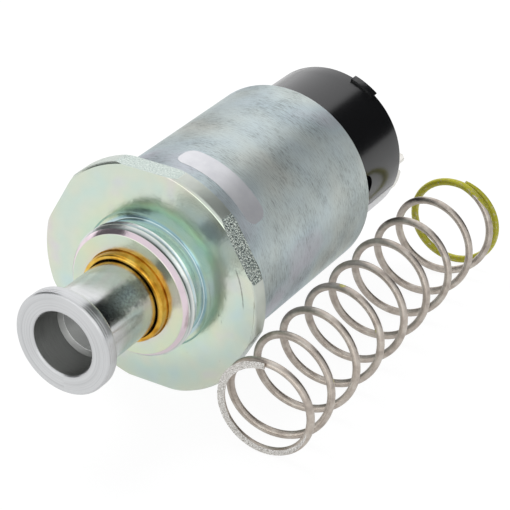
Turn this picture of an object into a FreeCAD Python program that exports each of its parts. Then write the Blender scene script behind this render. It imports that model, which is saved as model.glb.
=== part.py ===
import FreeCAD, Part

import math
import os

import Sketcher

# Fuel shutoff solenoid: a tubular pull solenoid with two windings, a threaded mounting collar on a
# hexagonal flange, a plunger with a socketed head and its loose return spring.
# The origin is the centre of the flange's front face. +Y runs from the plunger's head to the
# terminals, +Z is up, and the solenoid lies on the lowest flat of its flange.

doc = FreeCAD.newDocument("fuel_shutoff_solenoid")

# Driving dimensions, in millimetres, and angles in degrees
DIMENSIONS = [
    ("case_diameter", 44.45, "outside of the steel case"),
    ("case_wall", 2.0, "wall of the case"),
    ("case_length", 50.8, "case from the flange to its rolled rear rim"),
    ("case_lip", 1.5, "thickness of the rolled rear rim"),
    ("case_rim_round", 0.9, "rounding of the rear rim"),
    ("case_edge", 0.3, "edge break where the case meets the flange"),
    ("flange_flats", 51.0, "flange across flats"),
    ("flange_corners", 53.2, "turned diameter of the flange's corners"),
    ("flange_thickness", 4.4, "flange, front face to case"),
    ("flange_bevel", 0.5, "bevel on the turned corners"),
    ("boss_length", 7.44, "threaded boss in front of the flange"),
    ("boss_nose", 27.5, "diameter of the boss at its front face"),
    ("boss_chamfer", 1.5, "length of the chamfer before the thread"),
    ("thread_diameter", 30.0, "thread, outside"),
    ("undercut_diameter", 27.6, "relief behind the thread"),
    ("undercut_length", 3.8, "relief, from the thread to the flange"),
    ("undercut_slope", 0.8, "length of the slope at the end of the thread"),
    ("ring_diameter", 31.0, "shallow turned ring in the flange face"),
    ("ring_depth", 0.3, "depth of that ring"),
    ("spigot_length", 4.0, "rear spigot of the collar, inside the case"),
    ("spigot_lead", 0.4, "lead-in chamfer of the spigot"),
    ("tube_diameter", 20.2, "brass guide tube, outside"),
    ("tube_projection", 2.26, "guide tube in front of the boss"),
    ("tube_mouth", 0.1, "edge break inside the guide tube's mouth"),
    ("tube_nose_round", 0.7, "rounding outside the guide tube's mouth"),
    ("tube_edge", 0.25, "edge break of the boss round the guide tube"),
    ("plunger_reach", 30.06, "flange face to the front of the plunger's head"),
    ("plunger_diameter", 17.7, "plunger shaft"),
    ("running_clearance", 0.25, "radial clearance of the plunger in its tube"),
    ("head_diameter", 23.0, "plunger head"),
    ("head_thickness", 3.5, "plunger head, front to back"),
    ("head_edge", 0.35, "edge break in front of the head's rim"),
    ("head_back_bevel", 0.6, "bevel behind the head's rim"),
    ("head_root_round", 0.5, "rounding where the shaft meets the head"),
    ("socket_diameter", 14.26, "socket in the plunger's head"),
    ("socket_depth", 9.0, "depth of the socket"),
    ("socket_mouth", 0.4, "chamfer at the socket's mouth"),
    ("socket_corner", 0.9, "slope around the socket's floor"),
    ("tail_edge", 0.4, "edge break behind the shaft"),
    ("cone_base", 15.2, "plunger's rear cone at its base"),
    ("cone_tip", 10.0, "plunger's rear cone at its flat tip"),
    ("cone_length", 5.0, "length of the rear cone"),
    ("cone_clearance", 0.3, "radial clearance of the cone in the core"),
    ("inward_travel", 16.0, "plunger's travel from the place shown to the core"),
    ("stop_gap", 0.1, "what is left between cone and disc at full travel"),
    ("shoulder_gap", 0.5, "gap at the core's front when the tip meets the disc"),
    ("disc_thickness", 0.5, "residual disc in the core"),
    ("core_length", 14.0, "fixed core in front of the end plate"),
    ("core_edge", 0.3, "edge break of the core"),
    ("core_rivet", 10.0, "spigot of the core through the end plate"),
    ("rivet_head", 13.0, "staked head of the core"),
    ("rivet_height", 0.9, "height of the staked head"),
    ("rivet_bevel", 0.4, "bevel of the staked head"),
    ("plate_thickness", 3.0, "rear end plate"),
    ("gasket_thickness", 0.8, "gasket between end plate and cap"),
    ("gasket_width", 3.025, "width of the gasket's ring"),
    ("fit_gap", 0.02, "radial gap of the pressed and staked fits"),
    ("slip_gap", 0.2, "radial gap of the parts dropped into the case"),
    ("cap_diameter", 37.2, "cap where it leaves the case"),
    ("cap_taper", 0.15, "how far the cap's side draws in towards its rear end"),
    ("cap_projection", 20.9, "cap behind the case"),
    ("cap_flange", 2.0, "thickness of the cap's clamped flange"),
    ("cap_wall", 1.4, "side wall of the cap"),
    ("cap_end_wall", 2.5, "rear wall of the cap"),
    ("cap_round", 0.5, "rounding of the cap's rear edge"),
    ("cap_clearance", 0.15, "radial gap between cap and rolled rim"),
    ("key_angle", 28.3, "middle of the cap's key, clockwise from the top"),
    ("key_spread", 19.4, "angle that the key spans"),
    ("key_height", 0.65, "key above the cap's side"),
    ("key_length", 2.0, "key, from the rear end forwards"),
    ("vent_diameter", 5.2, "side hole in the cap"),
    ("vent_behind_case", 4.7, "side hole's centre behind the case"),
    ("terminal_angle", 14.0, "how far the row of blades is turned below the right side"),
    ("blade_width", 6.3, "pull and common blades"),
    ("small_blade_width", 4.8, "hold blade"),
    ("blade_thickness", 0.8, "all blades"),
    ("blade_length", 8.0, "blades behind the cap"),
    ("blade_tip", 1.1, "chamfers at the blades' tips"),
    ("blade_hole", 1.7, "hole through each blade"),
    ("blade_inset", 5.35, "pull and common blades' centres inside the cap's rear edge"),
    ("small_blade_inset", 2.85, "hold blade's plane inside the cap's rear edge"),
    ("small_blade_down", 5.6, "hold blade's centre below the row of blades"),
    ("solder_tail_width", 2.4, "solder tail inside the cap"),
    ("solder_tail_length", 5.0, "length of the solder tails"),
    ("small_tail_shift", 0.9, "the hold blade's tail sits towards the row of blades"),
    ("bobbin_wall", 1.1, "barrel of the bobbin"),
    ("bobbin_flange", 1.6, "end flanges of the bobbin"),
    ("bobbin_clearance", 1.725, "gap between the bobbin's flanges and the case"),
    ("hold_depth", 2.2, "radial depth of the hold winding"),
    ("pull_depth", 2.4, "radial depth of the pull winding"),
    ("tape_thickness", 0.2, "tape between the windings"),
    ("wrap_thickness", 0.3, "tape over the windings"),
    ("layer_gap", 0.02, "gap between the wound layers"),
    ("washer_thickness", 0.8, "insulating washer behind the bobbin"),
    ("dish_sheet", 0.4, "sheet of the dished spring washer"),
    ("dish_height", 0.6, "dish of the spring washer"),
    ("dish_diameter", 32.0, "outside of the spring washer"),
    ("lead_diameter", 1.5, "insulated leads"),
    ("lead_circle", 14.2, "radius on which the leads leave the bobbin"),
    ("lead_hole", 2.2, "holes that the leads pass through"),
    ("seal_section", 1.8, "section of the guide tube's sealing ring"),
    ("seal_place", 2.2, "sealing ring's middle behind the flange face"),
    ("wire_diameter", 1.7, "wire of the return spring"),
    ("spring_diameter", 22.0, "outside of the return spring"),
    ("spring_length", 90.9, "free length of the return spring between its ground ends"),
    ("spring_turns", 9.97, "turns, with one closed turn at each end"),
    ("spring_ground", 1.2, "how much of the wire is ground off at each tip"),
    ("spring_aside", 34.8, "front of the loose spring, to the right of the axis"),
    ("spring_front", -9.9, "front of the loose spring, along the axis"),
    ("spring_yaw", 2.35, "how far the loose spring turns in towards the case"),
]

sizes = doc.addObject("Spreadsheet::Sheet", "sizes")
for row, (alias, value, meaning) in enumerate(DIMENSIONS, start=1):
    sizes.set("A%d" % row, meaning)
    sizes.set("B%d" % row, str(value))
    sizes.setAlias("B%d" % row, alias)
doc.recompute()

# Sizes that several pieces share, worked out from the driving dimensions
CASE_BORE = "(sizes.case_diameter / 2 - sizes.case_wall)"
TUBE_OUTER = "(sizes.tube_diameter / 2)"
TUBE_BORE = "(sizes.plunger_diameter / 2 + sizes.running_clearance)"
CAP_RADIUS = "(sizes.cap_diameter / 2)"
CAP_END_RADIUS = "(%s - sizes.cap_taper)" % CAP_RADIUS
CAP_RIM_RADIUS = "(%s - sizes.slip_gap)" % CASE_BORE
CAP_LENGTH = "(sizes.cap_flange + sizes.case_lip + sizes.cap_projection)"
BLADE_OUT = "(%s - sizes.blade_inset)" % CAP_END_RADIUS
SMALL_BLADE_OUT = "(%s - sizes.small_blade_inset)" % CAP_END_RADIUS
BARREL = "(%s + sizes.layer_gap + sizes.bobbin_wall)" % TUBE_OUTER
BOBBIN_RADIUS = "(%s - sizes.bobbin_clearance)" % CASE_BORE
CONE_SLOPE = "((sizes.cone_base - sizes.cone_tip) / 2 / sizes.cone_length)"
RECESS_FLOOR = "(sizes.cone_length - sizes.shoulder_gap + sizes.disc_thickness)"
DISC_SEAT = "(sizes.cone_tip / 2 + sizes.cone_clearance)"

# Places along the axis
BOSS_FACE = "(0 - sizes.boss_length)"
TUBE_FRONT = "(0 - sizes.boss_length - sizes.tube_projection)"
HEAD_FRONT = "(0 - sizes.plunger_reach)"
CASE_FRONT = "sizes.flange_thickness"
CASE_REAR = "(sizes.flange_thickness + sizes.case_length)"
CAP_FRONT = "(%s - sizes.case_lip - sizes.cap_flange)" % CASE_REAR
GASKET_FRONT = "(%s - sizes.gasket_thickness)" % CAP_FRONT
PLATE_FRONT = "(%s - sizes.plate_thickness)" % GASKET_FRONT
CORE_FRONT = "(%s - sizes.core_length)" % PLATE_FRONT
DISC_FRONT = "(%s + %s - sizes.disc_thickness)" % (CORE_FRONT, RECESS_FLOOR)
SPIGOT_REAR = "(sizes.flange_thickness + sizes.spigot_length)"
BOBBIN_FRONT = "(%s + sizes.dish_height + sizes.dish_sheet)" % SPIGOT_REAR
BOBBIN_REAR = "(%s - sizes.washer_thickness)" % PLATE_FRONT
BOBBIN_LENGTH = "(%s - %s)" % (BOBBIN_REAR, BOBBIN_FRONT)
WINDING_LENGTH = "(%s - 2 * sizes.bobbin_flange)" % BOBBIN_LENGTH
CAP_REAR = "(%s + sizes.cap_projection)" % CASE_REAR

Y_AXIS = FreeCAD.Vector(0, 1, 0)


# Building blocks
def body(name, station="0", aside="0", height="0"):
    made = doc.addObject("PartDesign::Body", name)
    made.Label = name
    made.setExpression("Placement.Base.x", aside)
    made.setExpression("Placement.Base.y", station)
    made.setExpression("Placement.Base.z", height)
    return made


def origin_part(owner, role):
    return next(part for part in owner.Origin.OriginFeatures if part.Role == role)


def sketch(owner, name, role, behind="0"):
    """An empty sketch on one of the body's own planes, or on one parallel to XZ that lies behind it."""
    made = owner.newObject("Sketcher::SketchObject", name)
    made.AttachmentSupport = [(origin_part(owner, role), "")]
    made.MapMode = "FlatFace"
    if behind != "0":
        made.setExpression("AttachmentOffset.Base.z", "0 - %s" % behind)
    return made


def pin(drawing, kind, element, point, label, size):
    """Ties a point to the sketch's origin by a distance that follows the sheet."""
    index = drawing.addConstraint(Sketcher.Constraint(kind, -1, 1, element, point, 1.0))
    drawing.renameConstraint(index, label)
    drawing.setExpression("Constraints." + label, size)


def outline(owner, name, role, corners, behind="0"):
    """A closed outline of straight edges, with every corner placed from the origin."""
    drawing = sketch(owner, name, role, behind)
    count = len(corners)
    start = [
        FreeCAD.Vector(2 + math.cos(2 * math.pi * i / count), 2 + math.sin(2 * math.pi * i / count), 0)
        for i in range(count)
    ]
    for i in range(count):
        drawing.addGeometry(Part.LineSegment(start[i], start[(i + 1) % count]), False)
    for i in range(count):
        drawing.addConstraint(Sketcher.Constraint("Coincident", i, 2, (i + 1) % count, 1))
    for i, (across, along) in enumerate(corners):
        pin(drawing, "DistanceX", i, 1, "across%d" % i, across)
        pin(drawing, "DistanceY", i, 1, "along%d" % i, along)
    return drawing


def circles(owner, name, role, places, diameter, behind="0"):
    """A sketch of equal circles at the places given."""
    drawing = sketch(owner, name, role, behind)
    for i, (across, along) in enumerate(places):
        drawing.addGeometry(Part.Circle(FreeCAD.Vector(5 * i + 5, 5, 0), FreeCAD.Vector(0, 0, 1), 1), False)
        pin(drawing, "DistanceX", i, 3, "across%d" % i, across)
        pin(drawing, "DistanceY", i, 3, "along%d" % i, along)
        index = drawing.addConstraint(Sketcher.Constraint("Diameter", i, 2.0))
        drawing.renameConstraint(index, "diameter%d" % i)
        drawing.setExpression("Constraints.diameter%d" % i, diameter)
    return drawing


def turned(owner, name, corners, cut=False):
    """A revolved outline about the axis. Corners are (radius, place along the axis)."""
    drawing = outline(owner, name + "_outline", "XY_Plane", corners)
    made = owner.newObject("PartDesign::Groove" if cut else "PartDesign::Revolution", name)
    made.Profile = drawing
    made.ReferenceAxis = (drawing, ["V_Axis"])
    made.Angle = 360
    return made


def bore_through(owner, name, drawing, length):
    """A pocket that runs backwards from its sketch, towards the terminals."""
    made = owner.newObject("PartDesign::Pocket", name)
    made.Profile = drawing
    made.setExpression("Length", length)
    return made


def edges_at(feature, radius, place):
    """Names of the round edges with this radius at this place along the axis, in the body's frame."""
    doc.recompute()
    names = []
    for index, edge in enumerate(feature.Shape.Edges, start=1):
        curve = edge.Curve
        if isinstance(curve, Part.Circle) and abs(curve.Radius - radius) < 0.01:
            if abs(edge.CenterOfMass.y - place) < 0.01:
                names.append("Edge%d" % index)
    return names


def rounded(owner, name, feature, radius, place, size):
    """A fillet on the round edges at one place."""
    names = edges_at(feature, radius, place)
    made = owner.newObject("PartDesign::Fillet", name)
    made.Base = (feature, names)
    made.setExpression("Radius", size)
    return made


def ring(name, inner, outer, station, length):
    """A plain turned ring."""
    made = body(name, station)
    turned(made, name + "_turned", [(inner, "0"), (outer, "0"), (outer, length), (inner, length)])
    return made


def lead_holes(owner, name, thickness, behind="0"):
    """The three holes on the lead circle, a quarter turn apart, starting beside the pull blade."""
    start = ("sizes.lead_circle * cos(sizes.terminal_angle)", "0 - sizes.lead_circle * sin(sizes.terminal_angle)")
    drawing = circles(owner, name + "_sketch", "XZ_Plane", [start], "sizes.lead_hole", behind)
    hole = bore_through(owner, name, drawing, thickness)
    pattern = owner.newObject("PartDesign::PolarPattern", name + "_pattern")
    pattern.Originals = [hole]
    pattern.Axis = (origin_part(owner, "Y_Axis"), [""])
    pattern.Angle = 180
    pattern.Occurrences = 3
    owner.Tip = pattern
    return pattern


def size(alias):
    return float(getattr(sizes, alias))


def cap_end_radius():
    return size("cap_diameter") / 2 - size("cap_taper")


# Mounting collar: a hexagonal flange with turned corners, a threaded boss and a rear spigot, one piece
def make_mounting_collar():
    collar = body("mounting_collar")
    corner = "(sizes.flange_flats / sqrt(3))"
    hexagon = [
        ("%s * sin(%d)" % (corner, 30 + 60 * i), "%s * cos(%d)" % (corner, 30 + 60 * i)) for i in range(6)
    ]
    flange = collar.newObject("PartDesign::Pad", "flange")
    flange.Profile = outline(collar, "flange_outline", "XZ_Plane", hexagon)
    flange.setExpression("Length", "sizes.flange_thickness")
    flange.Reversed = True
    turned_to = "sizes.flange_corners / 2"
    past = "sizes.flange_flats"
    turned(collar, "turned_corners", [
        ("%s - sizes.flange_bevel" % turned_to, "0 - sizes.flange_bevel"),
        ("%s - sizes.flange_bevel" % turned_to, "0"),
        (turned_to, "sizes.flange_bevel"),
        (turned_to, "sizes.flange_thickness - sizes.flange_bevel"),
        ("%s - sizes.flange_bevel" % turned_to, "sizes.flange_thickness"),
        ("%s - sizes.flange_bevel" % turned_to, "sizes.flange_thickness + sizes.flange_bevel"),
        (past, "sizes.flange_thickness + sizes.flange_bevel"),
        (past, "0 - sizes.flange_bevel"),
    ], cut=True)
    spigot = "(%s - sizes.fit_gap)" % CASE_BORE
    turned(collar, "boss_and_spigot", [
        ("0", BOSS_FACE),
        ("sizes.boss_nose / 2", BOSS_FACE),
        ("sizes.thread_diameter / 2", "%s + sizes.boss_chamfer" % BOSS_FACE),
        ("sizes.thread_diameter / 2", "0 - sizes.undercut_length"),
        ("sizes.undercut_diameter / 2", "sizes.undercut_slope - sizes.undercut_length"),
        ("sizes.undercut_diameter / 2", "sizes.flange_thickness / 2"),
        (spigot, "sizes.flange_thickness / 2"),
        (spigot, "%s - sizes.spigot_lead" % SPIGOT_REAR),
        ("%s - sizes.spigot_lead" % spigot, SPIGOT_REAR),
        ("0", SPIGOT_REAR),
    ])
    turned(collar, "face_ring", [
        ("sizes.undercut_diameter / 2", "0"),
        ("sizes.ring_diameter / 2", "0"),
        ("sizes.ring_diameter / 2", "sizes.ring_depth"),
        ("sizes.undercut_diameter / 2", "sizes.ring_depth"),
    ], cut=True)
    bore = "(%s + sizes.fit_gap)" % TUBE_OUTER
    seal_floor = "(%s + sizes.seal_section + 2 * sizes.fit_gap)" % TUBE_OUTER
    seal_front = "sizes.seal_place - sizes.seal_section / 2 - sizes.slip_gap"
    seal_rear = "sizes.seal_place + sizes.seal_section / 2 + sizes.slip_gap"
    turned(collar, "tube_bore", [
        ("0", BOSS_FACE),
        ("%s + sizes.tube_edge" % bore, BOSS_FACE),
        (bore, "%s + sizes.tube_edge" % BOSS_FACE),
        (bore, seal_front),
        (seal_floor, seal_front),
        (seal_floor, seal_rear),
        (bore, seal_rear),
        (bore, SPIGOT_REAR),
        ("0", SPIGOT_REAR),
    ], cut=True)
    return collar


# Case: a steel tube pressed over the spigot, its rear rim rolled in over the cap's flange
def make_case_tube():
    case = body("case_tube", CASE_FRONT)
    outer = "sizes.case_diameter / 2"
    lip = "(%s + sizes.cap_clearance)" % CAP_RADIUS
    tube = turned(case, "tube", [
        (CASE_BORE, "0"),
        ("%s - sizes.case_edge" % outer, "0"),
        (outer, "sizes.case_edge"),
        (outer, "sizes.case_length"),
        (lip, "sizes.case_length"),
        (lip, "sizes.case_length - sizes.case_lip"),
        (CASE_BORE, "sizes.case_length - sizes.case_lip"),
    ])
    rounded(case, "rolled_rim", tube, size("case_diameter") / 2, size("case_length"), "sizes.case_rim_round")
    return case


# Brass guide tube: lines the plunger's path from in front of the boss back to the end plate
def make_guide_tube():
    tube = body("guide_tube", TUBE_FRONT)
    length = "(%s - %s)" % (PLATE_FRONT, TUBE_FRONT)
    drawn = turned(tube, "drawn_tube", [
        ("%s + sizes.tube_mouth" % TUBE_BORE, "0"),
        (TUBE_OUTER, "0"),
        (TUBE_OUTER, length),
        (TUBE_BORE, length),
        (TUBE_BORE, "sizes.tube_mouth"),
    ])
    rounded(tube, "nose", drawn, size("tube_diameter") / 2, 0.0, "sizes.tube_nose_round")
    return tube


# Plunger: head, shaft and rear cone turned from one bar, with a blind socket in the head
def make_plunger():
    plunger = body("plunger", HEAD_FRONT)
    shaft = "sizes.plunger_diameter / 2"
    rim = "sizes.head_diameter / 2"
    tip = "(%s - %s - sizes.inward_travel - sizes.stop_gap)" % (DISC_FRONT, HEAD_FRONT)
    shoulder = "(%s - sizes.cone_length)" % tip
    bar = turned(plunger, "turned_bar", [
        ("0", "0"),
        ("%s - sizes.head_edge" % rim, "0"),
        (rim, "sizes.head_edge"),
        (rim, "sizes.head_thickness - sizes.head_back_bevel"),
        ("%s - sizes.head_back_bevel" % rim, "sizes.head_thickness"),
        (shaft, "sizes.head_thickness"),
        (shaft, "%s - sizes.tail_edge" % shoulder),
        ("%s - sizes.tail_edge" % shaft, shoulder),
        ("sizes.cone_base / 2", shoulder),
        ("sizes.cone_tip / 2", tip),
        ("0", tip),
    ])
    rounded(plunger, "head_root", bar, size("plunger_diameter") / 2, size("head_thickness"), "sizes.head_root_round")
    socket = "sizes.socket_diameter / 2"
    turned(plunger, "socket", [
        ("0", "0"),
        ("%s + sizes.socket_mouth" % socket, "0"),
        (socket, "sizes.socket_mouth"),
        (socket, "sizes.socket_depth - sizes.socket_corner"),
        ("%s - sizes.socket_corner" % socket, "sizes.socket_depth"),
        ("0", "sizes.socket_depth"),
    ], cut=True)
    return plunger


# Fixed core: closes the rear of the guide tube, with a conical seat for the plunger and a staked spigot
def make_fixed_core():
    core = body("fixed_core", CORE_FRONT)
    outer = "(%s - sizes.fit_gap)" % TUBE_BORE
    through = "(sizes.core_length + sizes.plate_thickness)"
    turned(core, "turned_core", [
        ("0", "0"),
        ("%s - sizes.core_edge" % outer, "0"),
        (outer, "sizes.core_edge"),
        (outer, "sizes.core_length"),
        ("sizes.core_rivet / 2", "sizes.core_length"),
        ("sizes.core_rivet / 2", through),
        ("sizes.rivet_head / 2", through),
        ("sizes.rivet_head / 2 - sizes.rivet_bevel", "%s + sizes.rivet_height" % through),
        ("0", "%s + sizes.rivet_height" % through),
    ])
    turned(core, "cone_seat", [
        ("0", "0"),
        ("%s + %s * (sizes.cone_length - sizes.shoulder_gap)" % (DISC_SEAT, CONE_SLOPE), "0"),
        (DISC_SEAT, "%s - sizes.disc_thickness" % RECESS_FLOOR),
        (DISC_SEAT, RECESS_FLOOR),
        ("0", RECESS_FLOOR),
    ], cut=True)
    return core


def make_residual_disc():
    disc = body("residual_disc", DISC_FRONT)
    edge = "%s - sizes.fit_gap" % DISC_SEAT
    turned(disc, "punched_disc", [
        ("0", "0"),
        (edge, "0"),
        (edge, "sizes.disc_thickness"),
        ("0", "sizes.disc_thickness"),
    ])
    return disc


# Bobbin and its windings
def make_bobbin():
    bobbin = body("bobbin", BOBBIN_FRONT)
    inner = "(%s + sizes.layer_gap)" % TUBE_OUTER
    flange = BOBBIN_RADIUS
    inner_face = "(%s - sizes.bobbin_flange)" % BOBBIN_LENGTH
    turned(bobbin, "spool", [
        (inner, "0"),
        (flange, "0"),
        (flange, "sizes.bobbin_flange"),
        (BARREL, "sizes.bobbin_flange"),
        (BARREL, inner_face),
        (flange, inner_face),
        (flange, BOBBIN_LENGTH),
        (inner, BOBBIN_LENGTH),
    ])
    lead_holes(bobbin, "lead_exits", "sizes.bobbin_flange", inner_face)
    return bobbin


def make_windings():
    station = "%s + sizes.bobbin_flange" % BOBBIN_FRONT
    inner = "(%s + sizes.layer_gap)" % BARREL
    layers = [
        ("hold_winding", "sizes.hold_depth"),
        ("interlayer_tape", "sizes.tape_thickness"),
        ("pull_winding", "sizes.pull_depth"),
        ("winding_wrap", "sizes.wrap_thickness"),
    ]
    for name, depth in layers:
        outer = "(%s + %s)" % (inner, depth)
        ring(name, inner, outer, station, WINDING_LENGTH)
        inner = "(%s + sizes.layer_gap)" % outer


# Washers, end plate and gasket that close the rear of the case
def make_spring_washer():
    washer = body("spring_washer", SPIGOT_REAR)
    inner = "%s + sizes.slip_gap" % TUBE_OUTER
    outer = "sizes.dish_diameter / 2"
    turned(washer, "dished_sheet", [
        (inner, "0"),
        (outer, "sizes.dish_height"),
        (outer, "sizes.dish_height + sizes.dish_sheet"),
        (inner, "sizes.dish_sheet"),
    ])
    return washer


def make_insulating_washer():
    inner = "(%s + sizes.layer_gap)" % TUBE_OUTER
    washer = ring("insulating_washer", inner, BOBBIN_RADIUS, BOBBIN_REAR, "sizes.washer_thickness")
    lead_holes(washer, "washer_leads", "sizes.washer_thickness")
    return washer


def make_end_plate():
    inner = "(sizes.core_rivet / 2 + sizes.fit_gap)"
    outer = "(%s - sizes.fit_gap)" % CASE_BORE
    plate = ring("end_plate", inner, outer, PLATE_FRONT, "sizes.plate_thickness")
    lead_holes(plate, "plate_leads", "sizes.plate_thickness")
    return plate


def make_tube_seal():
    seal = body("tube_seal", "sizes.seal_place")
    centre = "%s + sizes.fit_gap + sizes.seal_section / 2" % TUBE_OUTER
    drawing = circles(seal, "seal_section", "XY_Plane", [(centre, "0")], "sizes.seal_section")
    made = seal.newObject("PartDesign::Revolution", "seal_ring")
    made.Profile = drawing
    made.ReferenceAxis = (drawing, ["V_Axis"])
    made.Angle = 360
    return seal


# Points of the terminal pattern: out along the row of blades, and down across it
def in_terminal_frame(out, down):
    across = "(%s) * cos(sizes.terminal_angle) - (%s) * sin(sizes.terminal_angle)" % (out, down)
    height = "0 - (%s) * sin(sizes.terminal_angle) - (%s) * cos(sizes.terminal_angle)" % (out, down)
    return across, height


def blade_slot(out, down, wide_out, wide_down):
    """Corners of a slot round a blade that stands at one place of the terminal pattern."""
    signs = [(-1, -1), (1, -1), (1, 1), (-1, 1)]
    return [
        in_terminal_frame("%s + %d * (%s) / 2" % (out, a, wide_out), "%s + %d * (%s) / 2" % (down, b, wide_down))
        for a, b in signs
    ]


SLOT_THICK = "sizes.blade_thickness + 2 * sizes.fit_gap"
SLOT_WIDE = "sizes.blade_width + 2 * sizes.fit_gap"
SMALL_SLOT_WIDE = "sizes.small_blade_width + 2 * sizes.fit_gap"


# Terminal cap: a moulded cup with a clamped flange, a key on its side, a side hole and three blade slots
def make_terminal_cap():
    cap = body("terminal_cap", CAP_FRONT)
    moulding = turned(cap, "cap_body", [
        ("0", "0"),
        (CAP_RIM_RADIUS, "0"),
        (CAP_RIM_RADIUS, "sizes.cap_flange"),
        (CAP_RADIUS, "sizes.cap_flange"),
        (CAP_END_RADIUS, CAP_LENGTH),
        ("0", CAP_LENGTH),
    ])
    cap_length = size("cap_flange") + size("case_lip") + size("cap_projection")
    rounded(cap, "cap_edge", moulding, cap_end_radius(), cap_length, "sizes.cap_round")

    low = "%s - sizes.cap_wall" % CAP_END_RADIUS
    high = "%s + 4 * sizes.key_height" % CAP_RADIUS
    near = "(sizes.key_angle - sizes.key_spread / 2)"
    far = "(sizes.key_angle + sizes.key_spread / 2)"
    wedge = [
        ("(%s) * sin(%s)" % (radius, angle), "(%s) * cos(%s)" % (radius, angle))
        for radius, angle in ((low, near), (high, near), (high, far), (low, far))
    ]
    key_front = "(%s - sizes.key_length)" % CAP_LENGTH
    key = cap.newObject("PartDesign::Pad", "key")
    key.Profile = outline(cap, "key_outline", "XZ_Plane", wedge, key_front)
    key.setExpression("Length", "sizes.key_length")
    key.Reversed = True
    top = "%s + sizes.key_height" % CAP_END_RADIUS
    past = "%s + 8 * sizes.key_height" % CAP_RADIUS
    turned(cap, "key_top", [
        (top, "%s - sizes.key_height" % key_front),
        (past, "%s - sizes.key_height" % key_front),
        (past, "%s + sizes.key_height" % CAP_LENGTH),
        (top, "%s + sizes.key_height" % CAP_LENGTH),
    ], cut=True)

    inside = "(%s - sizes.cap_end_wall)" % CAP_LENGTH
    turned(cap, "hollow", [
        ("0", "0"),
        ("%s - sizes.cap_wall" % CAP_RADIUS, "0"),
        ("%s - sizes.cap_wall" % CAP_END_RADIUS, inside),
        ("0", inside),
    ], cut=True)

    vent_place = "sizes.cap_flange + sizes.case_lip + sizes.vent_behind_case"
    vent_circle = circles(cap, "vent_circle", "YZ_Plane", [(vent_place, "0")], "sizes.vent_diameter")
    vent = cap.newObject("PartDesign::Pocket", "vent")
    vent.Profile = vent_circle
    vent.setExpression("Length", "sizes.cap_diameter")
    vent.Reversed = True

    slots = [
        ("pull_slot", blade_slot(BLADE_OUT, "0", SLOT_WIDE, SLOT_THICK)),
        ("common_slot", blade_slot("0 - %s" % BLADE_OUT, "0", SLOT_WIDE, SLOT_THICK)),
        ("hold_slot", blade_slot(SMALL_BLADE_OUT, "sizes.small_blade_down", SLOT_THICK, SMALL_SLOT_WIDE)),
    ]
    for name, corners in slots:
        drawing = outline(cap, name + "_outline", "XZ_Plane", corners, inside)
        bore_through(cap, name, drawing, "sizes.cap_end_wall")
    return cap


# Terminals: flat tabs through the cap's rear wall, each with a solder tail inside
def make_terminal(name, width, out, down, turn, tail_shift):
    across, height = in_terminal_frame(out, down)
    tab = body(name, CAP_REAR, across, height)
    tab.Placement.Rotation = FreeCAD.Rotation(Y_AXIS, 1)
    tab.setExpression("Placement.Rotation.Angle", "sizes.terminal_angle + %d" % turn)
    half = "%s / 2" % width
    tail = "sizes.solder_tail_width / 2"
    tail_end = "0 - sizes.cap_end_wall - sizes.solder_tail_length"
    corners = [
        ("%s - %s" % (tail_shift, tail), tail_end),
        ("%s + %s" % (tail_shift, tail), tail_end),
        ("%s + %s" % (tail_shift, tail), "0 - sizes.cap_end_wall"),
        (half, "0 - sizes.cap_end_wall"),
        (half, "sizes.blade_length - sizes.blade_tip"),
        ("%s - sizes.blade_tip" % half, "sizes.blade_length"),
        ("sizes.blade_tip - %s" % half, "sizes.blade_length"),
        ("0 - %s" % half, "sizes.blade_length - sizes.blade_tip"),
        ("0 - %s" % half, "0 - sizes.cap_end_wall"),
        ("%s - %s" % (tail_shift, tail), "0 - sizes.cap_end_wall"),
    ]
    blade = tab.newObject("PartDesign::Pad", name + "_blade")
    blade.Profile = outline(tab, name + "_outline", "XY_Plane", corners)
    blade.setExpression("Length", "sizes.blade_thickness")
    blade.Midplane = True
    hole = tab.newObject("PartDesign::Pocket", name + "_hole")
    hole.Profile = circles(tab, name + "_circle", "XY_Plane", [("0", "sizes.blade_length / 2")], "sizes.blade_hole")
    hole.setExpression("Length", "2 * sizes.blade_thickness")
    hole.Midplane = True
    return tab


def tail_mouth(out, down):
    """Where a lead meets the front end of a solder tail, as a point."""
    turn = math.radians(size("terminal_angle"))
    cap_rear = size("flange_thickness") + size("case_length") + size("cap_projection")
    return FreeCAD.Vector(
        out * math.cos(turn) - down * math.sin(turn),
        cap_rear - size("cap_end_wall") - size("solder_tail_length"),
        -out * math.sin(turn) - down * math.cos(turn),
    )


# Leads: insulated wires from the windings through the end plate to the solder tails
def bent_wire(name, points, diameter):
    """A round wire along straight runs that are joined by tangent arcs."""
    edges = []
    start = points[0]
    for before, corner, after in zip(points, points[1:], points[2:]):
        arriving = (corner - before).normalize()
        leaving = (after - corner).normalize()
        half_turn = arriving.getAngle(leaving) / 2
        reach = 0.45 * min((corner - before).Length, (after - corner).Length)
        radius = reach / math.tan(half_turn)
        inwards = (leaving - arriving).normalize()
        middle = corner + inwards * (radius / math.cos(half_turn) - radius)
        entry = corner - arriving * reach
        leave = corner + leaving * reach
        edges.append(Part.LineSegment(start, entry).toShape())
        edges.append(Part.Arc(entry, middle, leave).toShape())
        start = leave
        print(name, "bend radius", round(radius, 2))
    edges.append(Part.LineSegment(start, points[-1]).toShape())
    path = Part.Wire(edges)
    section = Part.Wire(Part.makeCircle(diameter / 2, points[0], points[1] - points[0]))
    solid = path.makePipeShell([section], True, True)
    expected = math.pi * diameter ** 2 / 4 * path.Length
    if abs(solid.Volume / expected - 1) > 0.01:
        raise ValueError("%s has a volume of %.2f, not %.2f" % (name, solid.Volume, expected))
    return solid


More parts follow.
